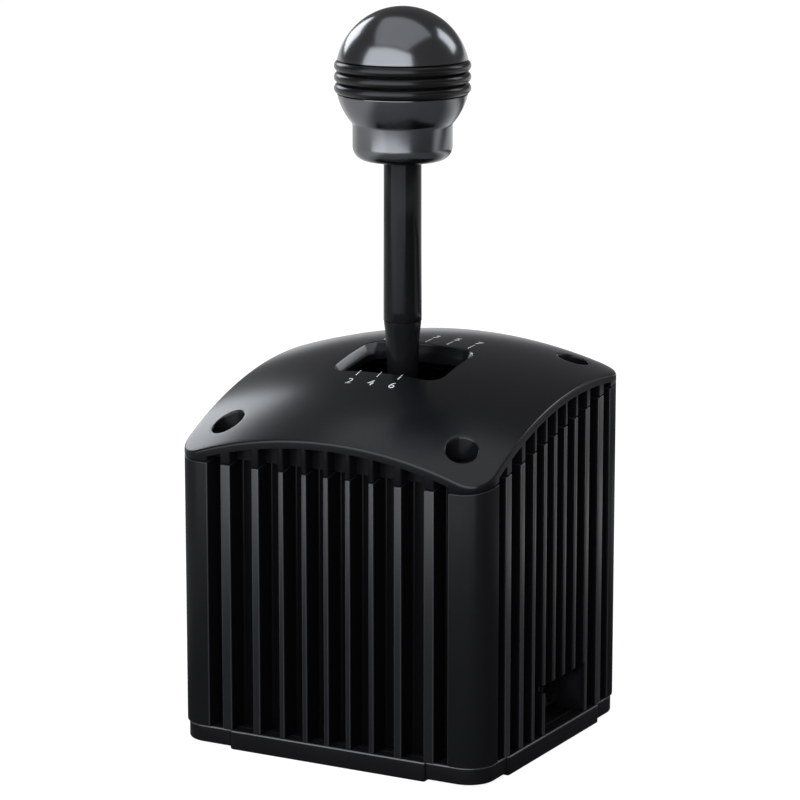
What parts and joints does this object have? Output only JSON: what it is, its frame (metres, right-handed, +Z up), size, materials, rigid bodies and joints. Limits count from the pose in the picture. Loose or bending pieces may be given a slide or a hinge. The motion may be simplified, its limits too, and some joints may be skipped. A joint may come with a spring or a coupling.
{
  "type": "sim racing gear shifter",
  "caption": "H-pattern gear shifter with a finned housing, a domed sloping cover and a lever with a ball knob that swings on a gimbal through a gate.",
  "frame": {"origin": "middle of the mounting plate's lower face, on the surface it stands on", "axes": "+Z up along the lever, +X to the player's right, +Y away from the player"},
  "size_m": [0.1208, 0.1098, 0.2553],
  "materials": {
    "housing": "satin black anodised aluminium",
    "cover": "satin black powder coat on cast aluminium",
    "base": "satin black coated aluminium plate",
    "black_screw": "black oxide",
    "zinc_screw": "zinc plated",
    "mechanism_steel": "machined",
    "ground_steel": "ground",
    "spring_steel": "drawn wire",
    "bronze": "sintered bronze",
    "board": "solder mask",
    "socket": "moulded",
    "magnet": "nickel plated",
    "lever_black": "satin black",
    "knob_metal": "polished gunmetal",
    "knob_rubber": "smooth black rubber"
  },
  "bodies": {
    "housing": {"base_plate": "base", "mounting_plate": "base", "plate_screws": "zinc_screw", "base_screws": "zinc_screw", "finned_housing": "housing", "top_cover": "cover", "cover_screws": "black_screw", "gate_plate": "mechanism_steel", "gate_pillars": "mechanism_steel", "gate_screws": "zinc_screw", "front_bracket": "mechanism_steel", "rear_bracket": "mechanism_steel", "bracket_screws": "zinc_screw", "select_bushes": "bronze", "main_board": "board", "board_spacers": "bronze", "board_screws": "zinc_screw", "data_sockets": "socket", "position_sensor": "socket", "centering_spring": "spring_steel"},
    "gimbal": {"gimbal_frame": "mechanism_steel", "select_pins": "ground_steel", "pin_spacers": "bronze", "pin_clips": "zinc_screw", "shift_bushes": "bronze"},
    "lever": {"pivot_hub": "mechanism_steel", "shift_axle": "ground_steel", "axle_clips": "zinc_screw", "gate_finger": "ground_steel", "position_magnet": "magnet", "detent_plug": "ground_steel", "detent_spring": "spring_steel", "lever_stem": "lever_black", "lever_sleeve": "lever_black", "knob_stud": "ground_steel", "knob_base": "knob_metal", "knob_rings": "knob_rubber", "knob_dome": "knob_metal"},
    "plunger": {"detent_plunger": "ground_steel"}
  },
  "joints": [
    {"name": "lever_select", "type": "hinge", "parent": "housing", "child": "gimbal", "pos_m": [0, 0, 0.084], "axis": [0, 1, 0], "range_deg": [-15, 15], "stiffness_Nm_per_rad": 3, "deforming": ["centering_spring"]},
    {"name": "lever_shift", "type": "hinge", "parent": "gimbal", "child": "lever", "pos_m": [0, 0, 0.084], "axis": [1, 0, 0], "range_deg": [-7.5, 7.5]},
    {"name": "detent_slide", "type": "slide", "parent": "lever", "child": "plunger", "axis": [1, 0, 0], "range_m": [0, 0.0012], "stiffness_N_per_m": 400, "springref_m": 0.004, "deforming": ["detent_spring"]}
  ]
}
